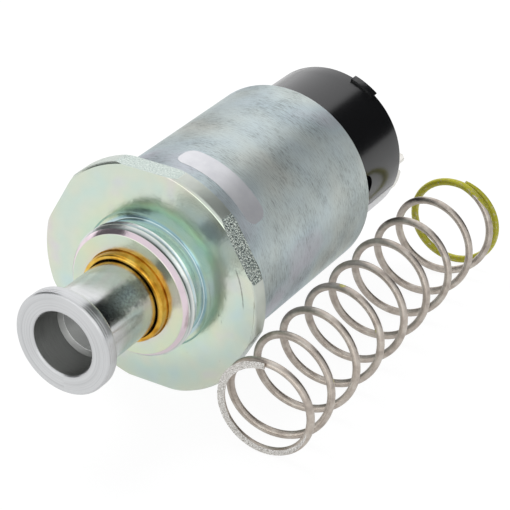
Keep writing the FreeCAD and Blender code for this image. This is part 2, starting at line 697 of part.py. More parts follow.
def make_lead(name, quarter, target):
    """A lead from its hole in the bobbin, by quarter turns from the pull blade, to its solder tail."""
    angle = math.radians(size("terminal_angle") + 90 * quarter)
    radius = size("lead_circle")
    across, height = radius * math.cos(angle), -radius * math.sin(angle)
    cap_front = size("flange_thickness") + size("case_length") - size("case_lip") - size("cap_flange")
    winding_rear = (
        cap_front - size("gasket_thickness") - size("plate_thickness")
        - size("washer_thickness") - size("bobbin_flange")
    )
    start = FreeCAD.Vector(across, winding_rear, height)
    crossing = target.y - cap_front
    rise = FreeCAD.Vector(across, cap_front + crossing * 0.3, height)
    settle = FreeCAD.Vector(target.x, cap_front + crossing * 0.62, target.z)
    made = doc.addObject("Part::Feature", name)
    made.Label = name
    made.Shape = bent_wire(name, [start, rise, settle, target], size("lead_diameter"))
    made.Placement = FreeCAD.Placement()
    return made


# Return spring: a left-hand coil with a closed, ground turn at each end, lying loose beside the solenoid
RUNS_PER_TURN = 20
WIRE_SIDES = 8


def coil_point(turns, radius, wire, pitch, total):
    """A point of the wire's centre line after so many turns, with the first turn starting at the top."""
    angle = 2 * math.pi * turns
    closed_front = min(turns, 1.0)
    closed_rear = max(turns - (total - 1.0), 0.0)
    active = turns - closed_front - closed_rear
    along = wire * (closed_front + closed_rear) + pitch * active
    return FreeCAD.Vector(-radius * math.sin(angle), along, radius * math.cos(angle))


def mitred_coil(points, wire):
    """Sweeps a many-sided wire section along straight runs, each cut where it meets the next."""
    directions = [(b - a).normalize() for a, b in zip(points, points[1:])]
    joints = [directions[0]]
    joints += [(a + b).normalize() for a, b in zip(directions, directions[1:])]
    joints.append(directions[-1])
    side = directions[0].cross(Y_AXIS).normalize()
    other = directions[0].cross(side)
    section = []
    for i in range(WIRE_SIDES):
        angle = 2 * math.pi * (i + 0.5) / WIRE_SIDES
        section.append(points[0] + (side * math.cos(angle) + other * math.sin(angle)) * (wire / 2))
    rings = [section]
    for centre, direction, joint in zip(points[1:], directions, joints[1:]):
        moved = [p + direction * ((centre - p).dot(joint) / direction.dot(joint)) for p in rings[-1]]
        rings.append(moved)
    faces = []
    for near, far in zip(rings, rings[1:]):
        for i in range(WIRE_SIDES):
            k = (i + 1) % WIRE_SIDES
            faces.append(Part.Face(Part.makePolygon([near[i], near[k], far[k], far[i], near[i]])))
    for end in (rings[0], rings[-1]):
        faces.append(Part.Face(Part.makePolygon(end + [end[0]])))
    solid = Part.makeSolid(Part.makeShell(faces))
    if solid.Volume < 0:
        solid.reverse()
    return solid


def make_return_spring():
    wire = size("wire_diameter")
    total = size("spring_turns")
    radius = (size("spring_diameter") - wire) / 2
    beyond = size("spring_ground") - wire / 2
    pitch = (size("spring_length") + 2 * beyond - 2 * wire) / (total - 2)
    steps = int(round(total * RUNS_PER_TURN))
    start = FreeCAD.Vector(0, beyond, 0)
    points = [coil_point(total * i / steps, radius, wire, pitch, total) - start for i in range(steps + 1)]
    across = 2 * size("spring_diameter")
    between_grinding_wheels = Part.makeBox(
        across, size("spring_length"), across, FreeCAD.Vector(-across / 2, 0, -across / 2)
    )
    made = doc.addObject("Part::Feature", "return_spring")
    made.Label = "return_spring"
    made.Shape = mitred_coil(points, wire).common(between_grinding_wheels).Solids[0]
    made.Placement = FreeCAD.Placement(
        FreeCAD.Vector(
            size("spring_aside"),
            size("spring_front"),
            size("spring_diameter") / 2 - size("flange_flats") / 2,
        ),
        FreeCAD.Rotation(FreeCAD.Vector(0, 0, 1), size("spring_yaw")),
    )
    return made


# The assembly
make_mounting_collar()
make_case_tube()
make_guide_tube()
make_plunger()
make_fixed_core()
make_residual_disc()
make_bobbin()
make_windings()
make_spring_washer()
make_insulating_washer()
make_end_plate()
gasket_bore = "%s - sizes.gasket_width" % CAP_RIM_RADIUS
ring("cap_gasket", gasket_bore, CAP_RIM_RADIUS, GASKET_FRONT, "sizes.gasket_thickness")
make_tube_seal()
make_terminal_cap()

make_terminal("terminal_pull", "sizes.blade_width", BLADE_OUT, "0", 0, "0")
make_terminal("terminal_common", "sizes.blade_width", "0 - %s" % BLADE_OUT, "0", 0, "0")
make_terminal(
    "terminal_hold", "sizes.small_blade_width", SMALL_BLADE_OUT, "sizes.small_blade_down", 90,
    "0 - sizes.small_tail_shift",
)

blade_out = cap_end_radius() - size("blade_inset")
small_blade_out = cap_end_radius() - size("small_blade_inset")
small_tail = size("small_blade_down") - size("small_tail_shift")
make_lead("lead_pull", 0, tail_mouth(blade_out, 0))
make_lead("lead_hold", 1, tail_mouth(small_blade_out, small_tail))
make_lead("lead_common", 2, tail_mouth(-blade_out, 0))
make_return_spring()

doc.recompute()

# Every object has to have been worked out, and every piece has to be one closed solid
for made in doc.Objects:
    if "Invalid" in made.State or "Error" in made.State:
        raise ValueError("%s failed: %s" % (made.Name, made.State))

os.makedirs("parts", exist_ok=True)
pieces = [made for made in doc.Objects if made.TypeId in ("PartDesign::Body", "Part::Feature")]
for made in pieces:
    if made.Shape.isNull() or not made.Shape.isValid() or len(made.Shape.Solids) != 1:
        raise ValueError("%s isn't one valid solid" % made.Label)
for made in pieces:
    made.Shape.exportStep("parts/%s.step" % made.Label)
    print("%-20s %9.1f mm3" % (made.Label, made.Shape.Volume))
print(len(pieces), "pieces")
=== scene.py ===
# %% [markdown]
# # A fuel shutoff solenoid, lying beside its return spring
#
# The real object is a tubular pull solenoid: a zinc-plated steel case with a threaded hexagonal
# collar, a steel plunger that slides in a brass tube, a black moulded cap with flat terminals, and
# a loose coil spring. Its solids come in as a fixed frame in metres. This lesson builds the
# surfaces that one sees, gives every piece the finish of the real material, and lights the scene.

# %% Load the frame
import math

import bmesh
import bpy
from mathutils import Matrix, Vector


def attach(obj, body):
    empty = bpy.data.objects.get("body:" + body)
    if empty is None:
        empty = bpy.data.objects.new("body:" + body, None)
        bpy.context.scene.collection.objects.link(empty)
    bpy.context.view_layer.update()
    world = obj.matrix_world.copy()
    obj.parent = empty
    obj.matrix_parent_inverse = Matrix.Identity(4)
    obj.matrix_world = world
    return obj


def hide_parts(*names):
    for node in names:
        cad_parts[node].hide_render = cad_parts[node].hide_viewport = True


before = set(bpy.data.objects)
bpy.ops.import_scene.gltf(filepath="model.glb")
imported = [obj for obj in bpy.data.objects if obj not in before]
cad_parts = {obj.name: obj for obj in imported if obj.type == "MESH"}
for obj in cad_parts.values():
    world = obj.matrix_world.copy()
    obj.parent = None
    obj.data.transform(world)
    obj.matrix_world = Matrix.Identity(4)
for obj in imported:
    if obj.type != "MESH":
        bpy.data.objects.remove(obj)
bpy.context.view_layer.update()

MM = 0.001

# %% [markdown]
# ## Camera first
#
# The photo looks down on the object at about 30 degrees, from the plunger's end, through a long
# lens. The place and lens come from fitting the round and hexagonal outlines. A long lens keeps
# the ellipses of the head, flange and rim in the proportions that the photo shows.

# %% Camera
camera_data = bpy.data.cameras.new("camera")
camera_data.lens = 150.0
camera_data.sensor_width = 36.0
camera_data.clip_end = 20.0
camera = bpy.data.objects.new("camera", camera_data)
bpy.context.scene.collection.objects.link(camera)
camera.location = Vector((221.7, -312.0, 225.5)) * MM
sight = Vector((-0.460, 0.735, -0.4985))
camera.rotation_euler = sight.to_track_quat("-Z", "Y").to_euler()
bpy.context.scene.camera = camera
print("camera", [round(c, 4) for c in camera.location])

# %% [markdown]
# ## Helpers for materials
#
# A colour is written as sRGB hex, as one would pick it from a swatch, and one function turns it to
# the linear values that shaders need. Another adds a node of any kind with its settings and its
# inputs, and gives one of its outputs. An input is a number, a colour, or another node's output.

# %% Colours and nodes
def colour(text):
    """Linear RGBA from an sRGB hex colour."""
    channels = [int(text[i:i + 2], 16) / 255 for i in (1, 3, 5)]
    linear = [c / 12.92 if c <= 0.04045 else ((c + 0.055) / 1.055) ** 2.4 for c in channels]
    return (*linear, 1.0)


def add(tree, kind, inputs=None, out=0, stops=(), **settings):
    """Adds a node with its settings, links and colour stops, where a stop is a hex or a grey."""
    made = tree.nodes.new("ShaderNode" + kind)
    for name, value in settings.items():
        setattr(made, name, value)
    for name, value in (inputs or {}).items():
        if isinstance(value, bpy.types.NodeSocket):
            tree.links.new(value, made.inputs[name])
        else:
            made.inputs[name].default_value = value
    for number, (place, shade) in enumerate(stops):
        ramp = made.color_ramp.elements
        stop = ramp[number] if number < len(ramp) else ramp.new(place)
        stop.position = place
        stop.color = colour(shade) if isinstance(shade, str) else (shade, shade, shade, 1.0)
    return made.outputs[out] if made.outputs else None


print("white is", colour("#ffffff"))

# %% [markdown]
# Turned parts carry marks that run round the axis, so their patterns need to know how far a point
# is from the axis, at which angle, and how far along. All three come from Object coordinates, which
# are the row's frame because every piece stays at the origin. Scaling them by 1000 lets each
# pattern be written in millimetres.

# %% Coordinates in millimetres
def place_mm(tree):
    """Object coordinates in millimetres."""
    where = add(tree, "TexCoord", out="Object")
    return add(tree, "VectorMath", {0: where, "Scale": 1000.0}, operation="SCALE")


def round_axis(tree, where):
    """Radius, angle and distance along the axis of the point."""
    parts = add(tree, "SeparateXYZ", {0: where}).node.outputs
    squares = [add(tree, "Math", {0: parts[i], 1: 2.0}, operation="POWER") for i in (0, 2)]
    flat = add(tree, "Math", {0: squares[0], 1: squares[1]}, operation="ADD")
    radius = add(tree, "Math", {0: flat}, operation="SQRT")
    angle = add(tree, "Math", {0: parts[0], 1: parts[2]}, operation="ARCTAN2")
    return radius, angle, parts[1]


def mask(tree, *edges):
    """A zone with soft edges. Each edge is a value, where the zone starts and where it is full."""
    zone = None
    for value, start, full in edges:
        edge = add(tree, "MapRange", {0: value, 1: start, 2: full}, interpolation_type="SMOOTHSTEP")
        zone = edge if zone is None else add(tree, "Math", {0: zone, 1: edge}, operation="MULTIPLY")
    return zone


def tool_marks(tree, where, per_mm, waver, detail, roughness):
    """Noise drawn out into rings round the axis, on faces as well as on cylinders."""
    radius, angle, along = round_axis(tree, where)
    across = add(tree, "Math", {0: radius, 1: along}, operation="ADD")
    across = add(tree, "Math", {0: across, 1: per_mm}, operation="MULTIPLY")
    around = add(tree, "Math", {0: angle, 1: waver}, operation="MULTIPLY")
    drawn_out = add(tree, "CombineXYZ", {0: across, 1: around, 2: 0.0})
    return add(tree, "TexNoise", {
        "Vector": drawn_out, "Scale": 1.0, "Detail": detail, "Roughness": roughness,
    })


print("patterns count", round(1 / MM), "millimetres to the metre")

# %% [markdown]
# Every material here starts from an empty node tree and ends in one Principled shader. Turned
# metal adds an anisotropic reflection: the tool marks run round the axis and spread a reflection
# outwards, across the marks, so the anisotropy is turned a quarter from the tangent.

# %% Start and end of a material
QUARTER_TURN = 0.25


def material(name):
    """A new material with an empty node tree."""
    made = bpy.data.materials.new(name)
    made.use_nodes = True
    made.node_tree.nodes.clear()
    return made, made.node_tree


def surface(made, inputs):
    """Ends a material with its shader, whose sockets take these numbers, colours or links."""
    tree = made.node_tree
    shader = add(tree, "BsdfPrincipled", inputs)
    add(tree, "OutputMaterial", {0: shader})
    print("made", made.name)
    return made


def turned_metal(made, tint, roughness, normal, spread):
    """Ends a bare metal that has tool marks round the axis."""
    return surface(made, {
        "Base Color": tint, "Metallic": 1.0, "Roughness": roughness, "Normal": normal,
        "Anisotropic": spread, "Anisotropic Rotation": QUARTER_TURN,
        "Tangent": add(made.node_tree, "Tangent", direction_type="RADIAL", axis="Y"),
    })


print("anisotropy is turned by", 360 * QUARTER_TURN, "degrees")

# %% [markdown]
# ## Zinc passivate on the collar
#
# The collar is steel with electroplated zinc under a clear trivalent passivate. The film is a few
# tenths of a micrometre thick, so it shows interference colours: cream, mint, cyan and a little
# pink. They lie in rings, because the turned shape changed the plating current, and in faint clouds
# a centimetre across. The thread keeps almost no film and is bare grey, with painted shade darkening
# its roots. The relief behind it has the most film.

# %% Colours of the film
FLANGE_REACH = 27.0
THREAD_FROM, THREAD_TO = -6.6, -3.4


def passivate_colour(tree, where):
    """Rings and clouds, and over them the nose cone, the thread, its relief and the corners."""
    radius, _, along = round_axis(tree, where)
    share = add(tree, "Math", {0: radius, 1: FLANGE_REACH}, operation="DIVIDE")
    rings = add(tree, "ValToRGB", {0: share}, stops=[
        (0.38, "#e4d3c6"), (0.43, "#dddcc0"), (0.51, "#dae0c3"), (0.60, "#d3e3cf"), (0.66, "#d9e3d0"),
        (0.74, "#d6e0d8"), (0.82, "#cfe0dc"), (0.94, "#dadfd4"), (1.0, "#dddfd4"),
    ])
    clouds = add(tree, "TexNoise", {"Vector": where, "Scale": 0.10})
    film = add(tree, "ValToRGB", {0: clouds}, stops=[
        (0.32, "#c2dce0"), (0.46, "#cfe2cd"), (0.58, "#dfe0c4"), (0.70, "#e2cfd6"),
    ])
    tint = add(tree, "Mix", {0: 0.38, 6: rings, 7: film}, 2, data_type="RGBA")
    cone = mask(tree, (radius, 13.6, 13.9), (along, -6.2, THREAD_FROM))
    thread_zone = mask(tree, (along, THREAD_FROM, -6.2), (along, THREAD_TO, -3.9), (radius, 13.9, 14.1))
    # The thread is bare grey, darker towards its roots: the dark roots are painted shade.
    thread_grey_and_root_shade = add(tree, "MapRange", {0: radius, 1: 14.1, 2: 14.9}, interpolation_type="SMOOTHSTEP")
    thread_grey_and_root_shade = add(tree, "ValToRGB", {0: thread_grey_and_root_shade}, stops=[
        (0.0, "#6b7371"), (0.5, "#b5bcba"), (1.0, "#e2e5e3"),
    ])
    relief = mask(tree, (along, -4.6, -3.9), (radius, 14.9, 14.3))
    corner = add(tree, "MapRange", {0: radius, 1: 26.2, 2: 26.5}, interpolation_type="SMOOTHSTEP")
    corner = add(tree, "Math", {0: corner, 1: 0.8}, operation="MULTIPLY")
    for zone, shade in (
            (cone, colour("#ead8e0")), (thread_zone, thread_grey_and_root_shade), (relief, colour("#c8dde2")),
            (corner, colour("#d2d8d1"))):
        tint = add(tree, "Mix", {0: zone, 6: tint, 7: shade}, 2, data_type="RGBA")
    return tint


print("rings of colour reach out to", FLANGE_REACH, "mm")

# %% [markdown]
# Handling left a scratch in the flange's face, which wavers along one ring of the turning, and a
# group of small pits. A ring is drawn from the distance to one radius, with noise for its width,
# and each mark is kept to a sector by its angle in radians from the top towards the spring.

# %% Handling marks on the flange
SCRATCH_RADIUS = 23.62


def flange_marks(tree, where):
    """One where the scratch and the pits are."""
    radius, angle, along = round_axis(tree, where)
    off_line = add(tree, "Math", {0: radius, 1: SCRATCH_RADIUS}, operation="SUBTRACT")
    off_line = add(tree, "Math", {0: off_line}, operation="ABSOLUTE")
    width = add(tree, "TexNoise", {"Vector": where, "Scale": 1.2})
    width = add(tree, "Math", {0: width, 1: 0.34}, operation="MULTIPLY")
    line = add(tree, "Math", {0: off_line, 1: width}, operation="LESS_THAN")
    span = mask(tree, (angle, 1.16, 1.22), (angle, 1.58, 1.50))
    scratch = add(tree, "Math", {0: line, 1: span}, operation="MULTIPLY")
    pits = add(tree, "TexVoronoi", {"Vector": where, "Scale": 1.1}, "Distance")
    pits = add(tree, "Math", {0: pits, 1: 0.20}, operation="LESS_THAN")
    ring = mask(tree, (radius, 16.4, 17.0), (radius, 19.8, 19.2))
    pits = add(tree, "Math", {0: pits, 1: ring}, operation="MULTIPLY")
    sector = mask(tree, (angle, 1.64, 1.72), (angle, 1.90, 1.84))
    pits = add(tree, "Math", {0: pits, 1: sector}, operation="MULTIPLY")
    marks = add(tree, "Math", {0: scratch, 1: pits}, operation="MAXIMUM")
    on_face = add(tree, "MapRange", {0: along, 1: -0.3, 2: -0.1}, interpolation_type="SMOOTHSTEP")
    return add(tree, "Math", {0: marks, 1: on_face}, operation="MULTIPLY")


print("the scratch lies", SCRATCH_RADIUS, "mm from the axis")

# %% [markdown]
# The collar's turning marks are about 0.15 mm apart, too fine to see, and are drawn 0.4 mm apart.
# Dents 2 mm across break up the reflections, and the turned corners are duller than the faces.

# %% Zinc passivate
def make_passivate():
    made, tree = material("clear_zinc_passivate")
    where = place_mm(tree)
    patches = add(tree, "TexNoise", {"Vector": where, "Scale": 0.35, "Detail": 4.0, "Roughness": 0.6})
    dull = add(tree, "Math", {0: patches, 1: 0.12}, operation="MULTIPLY")
    tint = add(tree, "Mix", {
        0: dull, 6: passivate_colour(tree, where), 7: colour("#b4c4be"),
    }, 2, data_type="RGBA", blend_type="MULTIPLY")
    specks = add(tree, "TexVoronoi", {"Vector": where, "Scale": 0.38}, "Distance")
    specks = add(tree, "Math", {0: specks, 1: 0.035}, operation="LESS_THAN")
    for marks, shade in ((specks, "#7d786a"), (flange_marks(tree, where), "#5c5d58")):
        half = add(tree, "Math", {0: marks, 1: 0.5}, operation="MULTIPLY")
        tint = add(tree, "Mix", {0: half, 6: tint, 7: colour(shade)}, 2, data_type="RGBA")
    radius, _, _ = round_axis(tree, where)
    corner = add(tree, "MapRange", {0: radius, 1: 26.2, 2: 26.5}, interpolation_type="SMOOTHSTEP")
    rough = add(tree, "Math", {0: patches, 1: 0.14, 2: 0.12}, operation="MULTIPLY_ADD")
    rough = add(tree, "Math", {0: corner, 1: 0.28, 2: rough}, operation="MULTIPLY_ADD")
    lines = tool_marks(tree, where, 2.5, 0.6, 3.0, 0.7)
    dents = add(tree, "TexNoise", {"Vector": where, "Scale": 0.5, "Detail": 3.0})
    first = add(tree, "Bump", {"Height": lines, "Distance": 0.006 * MM})
    second = add(tree, "Bump", {"Height": dents, "Distance": 0.045 * MM, "Normal": first})
    return turned_metal(made, tint, rough, second, 0.45)


clear_zinc = make_passivate()

# %% [markdown]
# The six flats are left as rolled from the hexagonal bar, under the same plating. Their skin is
# grainy, with pits about 0.3 mm across, so they glitter in dark and light specks where the turned
# faces reflect smoothly. The flats towards the spring are pitted deepest.

# %% Plated mill skin on the flats
def make_mill_skin():
    made, tree = material("plated_mill_skin")
    where = place_mm(tree)
    _, angle, _ = round_axis(tree, where)
    pitted = mask(tree, (angle, 0.4, 0.6), (angle, 1.7, 1.5))
    depth = add(tree, "Math", {0: pitted, 1: 0.8, 2: 0.2}, operation="MULTIPLY_ADD")
    grain = add(tree, "TexNoise", {"Vector": where, "Scale": 2.9, "Detail": 1.0})
    grain = add(tree, "Math", {0: grain, 1: 0.5}, operation="SUBTRACT")
    grain = add(tree, "Math", {0: grain, 1: depth, 2: 0.5}, operation="MULTIPLY_ADD")
    tint = add(tree, "ValToRGB", {0: grain}, stops=[
        (0.38, "#6f7a77"), (0.48, "#b4c0ba"), (0.60, "#e2eae1"),
    ])
    coarse = add(tree, "TexNoise", {"Vector": where, "Scale": 0.5})
    coarse = add(tree, "Math", {0: coarse, 1: 0.5}, operation="MULTIPLY")
    height = add(tree, "Math", {0: grain, 1: coarse}, operation="ADD")
    return surface(made, {
        "Base Color": tint, "Metallic": 1.0, "Roughness": 0.24,
        "Normal": add(tree, "Bump", {"Height": height, "Distance": 0.34 * MM}),
    })


mill_skin = make_mill_skin()

# %% [markdown]
# ## The case's finish
#
# The case is drawn steel tube, linished round its axis with fine abrasive and then zinc plated in
# the same bath. The abrasive leaves short scratches round the tube, 2 to 3 mm long and about
# 0.05 mm wide. They are drawn 0.2 mm wide. Their sides tip the surface to the front and the back,
# so they glitter where the reflection changes along the axis. The film is bluer than the collar's,
# with faint lavender and cyan clouds two centimetres across.

# %% Linished zinc
CASE_RADIUS = 22.2


def make_case_zinc():
    made, tree = material("linished_zinc_plate")
    where = place_mm(tree)
    _, angle, along = round_axis(tree, where)
    clouds = add(tree, "TexNoise", {"Vector": where, "Scale": 0.055})
    tint = add(tree, "ValToRGB", {0: clouds}, stops=[
        (0.32, "#d3d6dd"), (0.45, "#cfdbde"), (0.58, "#d3dcda"), (0.72, "#d6dad4"),
    ])
    girth = add(tree, "Math", {0: angle, 1: CASE_RADIUS}, operation="MULTIPLY")
    layers = []
    for round_scale, along_scale, shift in ((0.42, 3.8, 0.0), (1.2, 6.0, 4.0)):
        round_part = add(tree, "Math", {0: girth, 1: round_scale}, operation="MULTIPLY")
        along_part = add(tree, "Math", {0: along, 1: along_scale}, operation="MULTIPLY")
        drawn_out = add(tree, "CombineXYZ", {0: round_part, 1: along_part, 2: shift})
        layers.append(add(tree, "TexNoise", {"Vector": drawn_out, "Scale": 1.0, "Roughness": 0.6}))
    scratches, hairs = layers
    lines = add(tree, "Math", {0: hairs, 1: 0.6, 2: scratches}, operation="MULTIPLY_ADD")
    shade = add(tree, "ValToRGB", {0: lines}, stops=[(0.62, 0.42), (0.76, 0.84), (0.92, 1.0)])
    worn = add(tree, "TexNoise", {"Vector": where, "Scale": 0.10})
    scratched = add(tree, "MapRange", {0: worn, 1: 0.38, 2: 0.62}, interpolation_type="SMOOTHSTEP")
    scratched = add(tree, "Math", {0: scratched, 1: 0.45, 2: 0.30}, operation="MULTIPLY_ADD")
    greyed = add(tree, "MapRange", {0: worn, 1: 0.40, 2: 0.70}, interpolation_type="SMOOTHSTEP")
    for share, over in ((scratched, shade), (greyed, colour("#f4f5f6"))):
        tint = add(tree, "Mix", {
            0: share, 6: tint, 7: over,
        }, 2, data_type="RGBA", blend_type="MULTIPLY")
    rough = add(tree, "Math", {0: worn, 1: 0.08, 2: 0.50}, operation="MULTIPLY_ADD")
    first = add(tree, "Bump", {"Height": lines, "Distance": 0.070 * MM})
    second = add(tree, "Bump", {"Height": worn, "Distance": 0.05 * MM, "Normal": first})
    return turned_metal(made, tint, rough, second, 0.85)


case_zinc = make_case_zinc()

# %% [markdown]
# ## Plunger finishes
#
# The plunger is free-cutting steel. Its shaft is ground and nickel plated, which reflects almost
# like a mirror with a soft haze; the grinding is too fine to see and is drawn as faint bands
# 0.7 mm wide. The head is left as turned: concentric tool marks about 0.15 mm apart, drawn at
# 0.3 mm, give it a brushed look. Its socket is drilled, with rings 0.6 mm apart, and dull. In
# front of the guide tube a dark, speckled band is painted into the shaft's colour: a painted
# reflection of the tent's dark side.

# %% Painted dark band on the shaft
# Angles in radians of the painted dark band, a painted reflection of the tent's dark side.
DARK_BAND_FROM, DARK_BAND_TO = 0.36, 1.20


def painted_dark_band(tree, where):
    """Where a dark band is painted along the exposed shaft, blotchy at its edges: a painted reflection.
    """
    _, angle, along = round_axis(tree, where)
    blotch = add(tree, "TexNoise", {"Vector": where, "Scale": 0.30, "Detail": 3.0, "Roughness": 0.6})
    blotch = add(tree, "Math", {0: blotch, 1: 0.5}, operation="SUBTRACT")
    blotch = add(tree, "Math", {0: blotch, 1: 0.7}, operation="MULTIPLY")
    place = add(tree, "Math", {0: angle, 1: blotch}, operation="ADD")
    front = add(tree, "Math", {0: blotch, 1: 8.0, 2: along}, operation="MULTIPLY_ADD")
    return mask(tree, (place, DARK_BAND_FROM, 0.70), (place, DARK_BAND_TO, 0.98), (front, -5.0, -11.0))


print("streak between", [round(math.degrees(a)) for a in (DARK_BAND_FROM, DARK_BAND_TO)], "degrees")

# %% Ground, turned and drilled steel
def make_steel(
        name, tone, rough_low, rough_span, lines_per_mm, line_height,
        grain=0.0, spread=0.5, contrast=0.6, waver=0.8, dark_band=0.0):
    made, tree = material(name)
    where = place_mm(tree)
    lines = tool_marks(tree, where, lines_per_mm, waver, 4.0, 0.75)
    shade = add(tree, "ValToRGB", {0: lines}, stops=[(0.32, 0.74), (0.5, 0.94), (0.66, 1.0)])
    tint = add(tree, "Mix", {
        0: contrast, 6: colour(tone), 7: shade,
    }, 2, data_type="RGBA", blend_type="MULTIPLY")
    # A dark speckled band along the shaft is painted into the colour: a painted reflection.
    if dark_band:
        band_speckle = add(tree, "TexNoise", {"Vector": where, "Scale": 2.2, "Roughness": 0.6})
        band_speckle = add(tree, "ValToRGB", {0: band_speckle}, stops=[(0.35, "#35393b"), (0.6, "#6e7577")])
        band_share = add(tree, "Math", {0: painted_dark_band(tree, where), 1: dark_band}, operation="MULTIPLY")
        tint = add(tree, "Mix", {0: band_share, 6: tint, 7: band_speckle}, 2, data_type="RGBA")
    worn = add(tree, "TexNoise", {"Vector": where, "Scale": 0.6, "Detail": 3.0, "Roughness": 0.6})
    rough = add(tree, "Math", {0: worn, 1: rough_span, 2: rough_low}, operation="MULTIPLY_ADD")
    height = add(tree, "TexNoise", {"Vector": where, "Scale": 3.0})
    height = add(tree, "Math", {0: height, 1: grain, 2: lines}, operation="MULTIPLY_ADD")
    normal = add(tree, "Bump", {"Height": height, "Distance": line_height * MM})
    return turned_metal(made, tint, rough, normal, spread)


# The ground shaft gets the painted dark band, a painted reflection.
ground_steel = make_steel(
    "ground_nickel_plated_steel", "#d2d3d3", 0.10, 0.16, 1.5, 0.004,
    grain=0.6, spread=0.1, contrast=0.25, dark_band=0.8)
turned_steel = make_steel(
    "turned_steel", "#d6d7d8", 0.26, 0.08, 3.0, 0.022, spread=0.85, contrast=0.9, waver=0.12)
drilled_steel = make_steel("drilled_steel", "#a8a9a7", 0.34, 0.20, 1.6, 0.040, grain=0.6)
bare_steel = make_steel("machined_bare_steel", "#b9b9b6", 0.30, 0.15, 3.0, 0.015)

# %% [markdown]
# ## Brass, spring wire and tinned blades
#
# The guide tube is drawn brass, polished round its axis to a warm satin. The polishing marks are
# a few hundredths of a millimetre wide and are drawn 0.25 mm wide.

# %% Brass
def make_brass():
    made, tree = material("drawn_brass")
    where = place_mm(tree)
    radius, angle, along = round_axis(tree, where)
    stain = add(tree, "TexNoise", {"Vector": where, "Scale": 0.35, "Detail": 4.0, "Roughness": 0.6})
    tint = add(tree, "ValToRGB", {0: stain}, stops=[
        (0.3, "#b27a20"), (0.5, "#dba73e"), (0.7, "#ebc765"),
    ])
    rough = add(tree, "Math", {0: stain, 1: 0.14, 2: 0.18}, operation="MULTIPLY_ADD")
    across = add(tree, "Math", {0: along, 1: 4.0}, operation="MULTIPLY")
    drawn_out = add(tree, "CombineXYZ", {0: across, 1: angle, 2: radius})
    lines = add(tree, "TexNoise", {"Vector": drawn_out, "Scale": 1.0, "Detail": 3.0, "Roughness": 0.7})
    return surface(made, {
        "Base Color": tint, "Metallic": 1.0, "Roughness": rough,
        "Normal": add(tree, "Bump", {"Height": lines, "Distance": 0.010 * MM}),
    })


brass = make_brass()

# %% [markdown]
# The spring is hard-drawn steel wire, slightly brown from its oil. Its rear turn is marked with
# yellow-green paint, which is worn and also left a few spots. The paint is a dielectric, so it
# lowers the metallic value where it covers the steel.

# %% Spring wire
PAINT_FROM = 79.4


def make_spring_wire():
    made, tree = material("oiled_spring_wire")
    where = place_mm(tree)
    along = add(tree, "SeparateXYZ", {0: where}, 1)
    stain = add(tree, "TexNoise", {"Vector": where, "Scale": 0.5, "Detail": 3.0, "Roughness": 0.6})
    steel = add(tree, "ValToRGB", {0: stain}, stops=[
        (0.3, "#aba198"), (0.5, "#c1b7ad"), (0.7, "#cfc8bf"),
    ])
    ragged = add(tree, "TexNoise", {"Vector": where, "Scale": 0.4, "Detail": 3.0})
    ragged = add(tree, "Math", {0: ragged, 1: 2.0}, operation="MULTIPLY")
    edge = add(tree, "Math", {0: along, 1: ragged}, operation="ADD")
    painted = add(tree, "Math", {0: edge, 1: PAINT_FROM}, operation="GREATER_THAN")
    spots = add(tree, "TexVoronoi", {"Vector": where, "Scale": 0.10}, "Distance")
    spots = add(tree, "Math", {0: spots, 1: 0.09}, operation="LESS_THAN")
    spots = add(tree, "Math", {0: spots, 1: 0.6}, operation="MULTIPLY")
    paint = add(tree, "Math", {0: painted, 1: spots}, operation="MAXIMUM")
    worn = add(tree, "TexNoise", {"Vector": where, "Scale": 1.6, "Detail": 3.0, "Roughness": 0.7})
    worn = add(tree, "ValToRGB", {0: worn}, stops=[(0.30, 0.2), (0.48, 1.0)])
    paint = add(tree, "Math", {0: paint, 1: worn}, operation="MULTIPLY")
    skin = add(tree, "TexNoise", {"Vector": where, "Scale": 1.5})
    return surface(made, {
        "Base Color": add(tree, "Mix", {0: paint, 6: steel, 7: colour("#b9b52c")}, 2, data_type="RGBA"),
        "Metallic": add(tree, "Math", {0: paint, 1: -0.75, 2: 1.0}, operation="MULTIPLY_ADD"),
        "Roughness": add(tree, "Math", {0: stain, 1: 0.10, 2: 0.34}, operation="MULTIPLY_ADD"),
        "Normal": add(tree, "Bump", {"Height": skin, "Distance": 0.008 * MM}),
    })


spring_wire = make_spring_wire()

# %% [markdown]
# Three finishes are one noise pattern each: the spring's ends, ground flat on a coarse wheel with
# grit of 0.25 mm, the tinned brass of the blades, and the labels' clear polyester film over
# silvered adhesive. The same function makes all three from their clouds, colours and settings.

# %% Ground ends, tin and label film
def make_clouded(name, clouds, stops, depth, settings, spread=None):
    """A finish whose tint, height and, with a spread, roughness all follow one noise."""
    made, tree = material(name)
    cloud = add(tree, "TexNoise", {"Vector": place_mm(tree), "Detail": 3.0, **clouds})
    inputs = {"Base Color": add(tree, "ValToRGB", {0: cloud}, stops=stops), **settings}
    if spread:
        inputs["Roughness"] = add(tree, "Math", {
            0: cloud, 1: spread, 2: settings["Roughness"],
        }, operation="MULTIPLY_ADD")
    inputs["Normal"] = add(tree, "Bump", {"Height": cloud, "Distance": depth * MM})
    return surface(made, inputs)


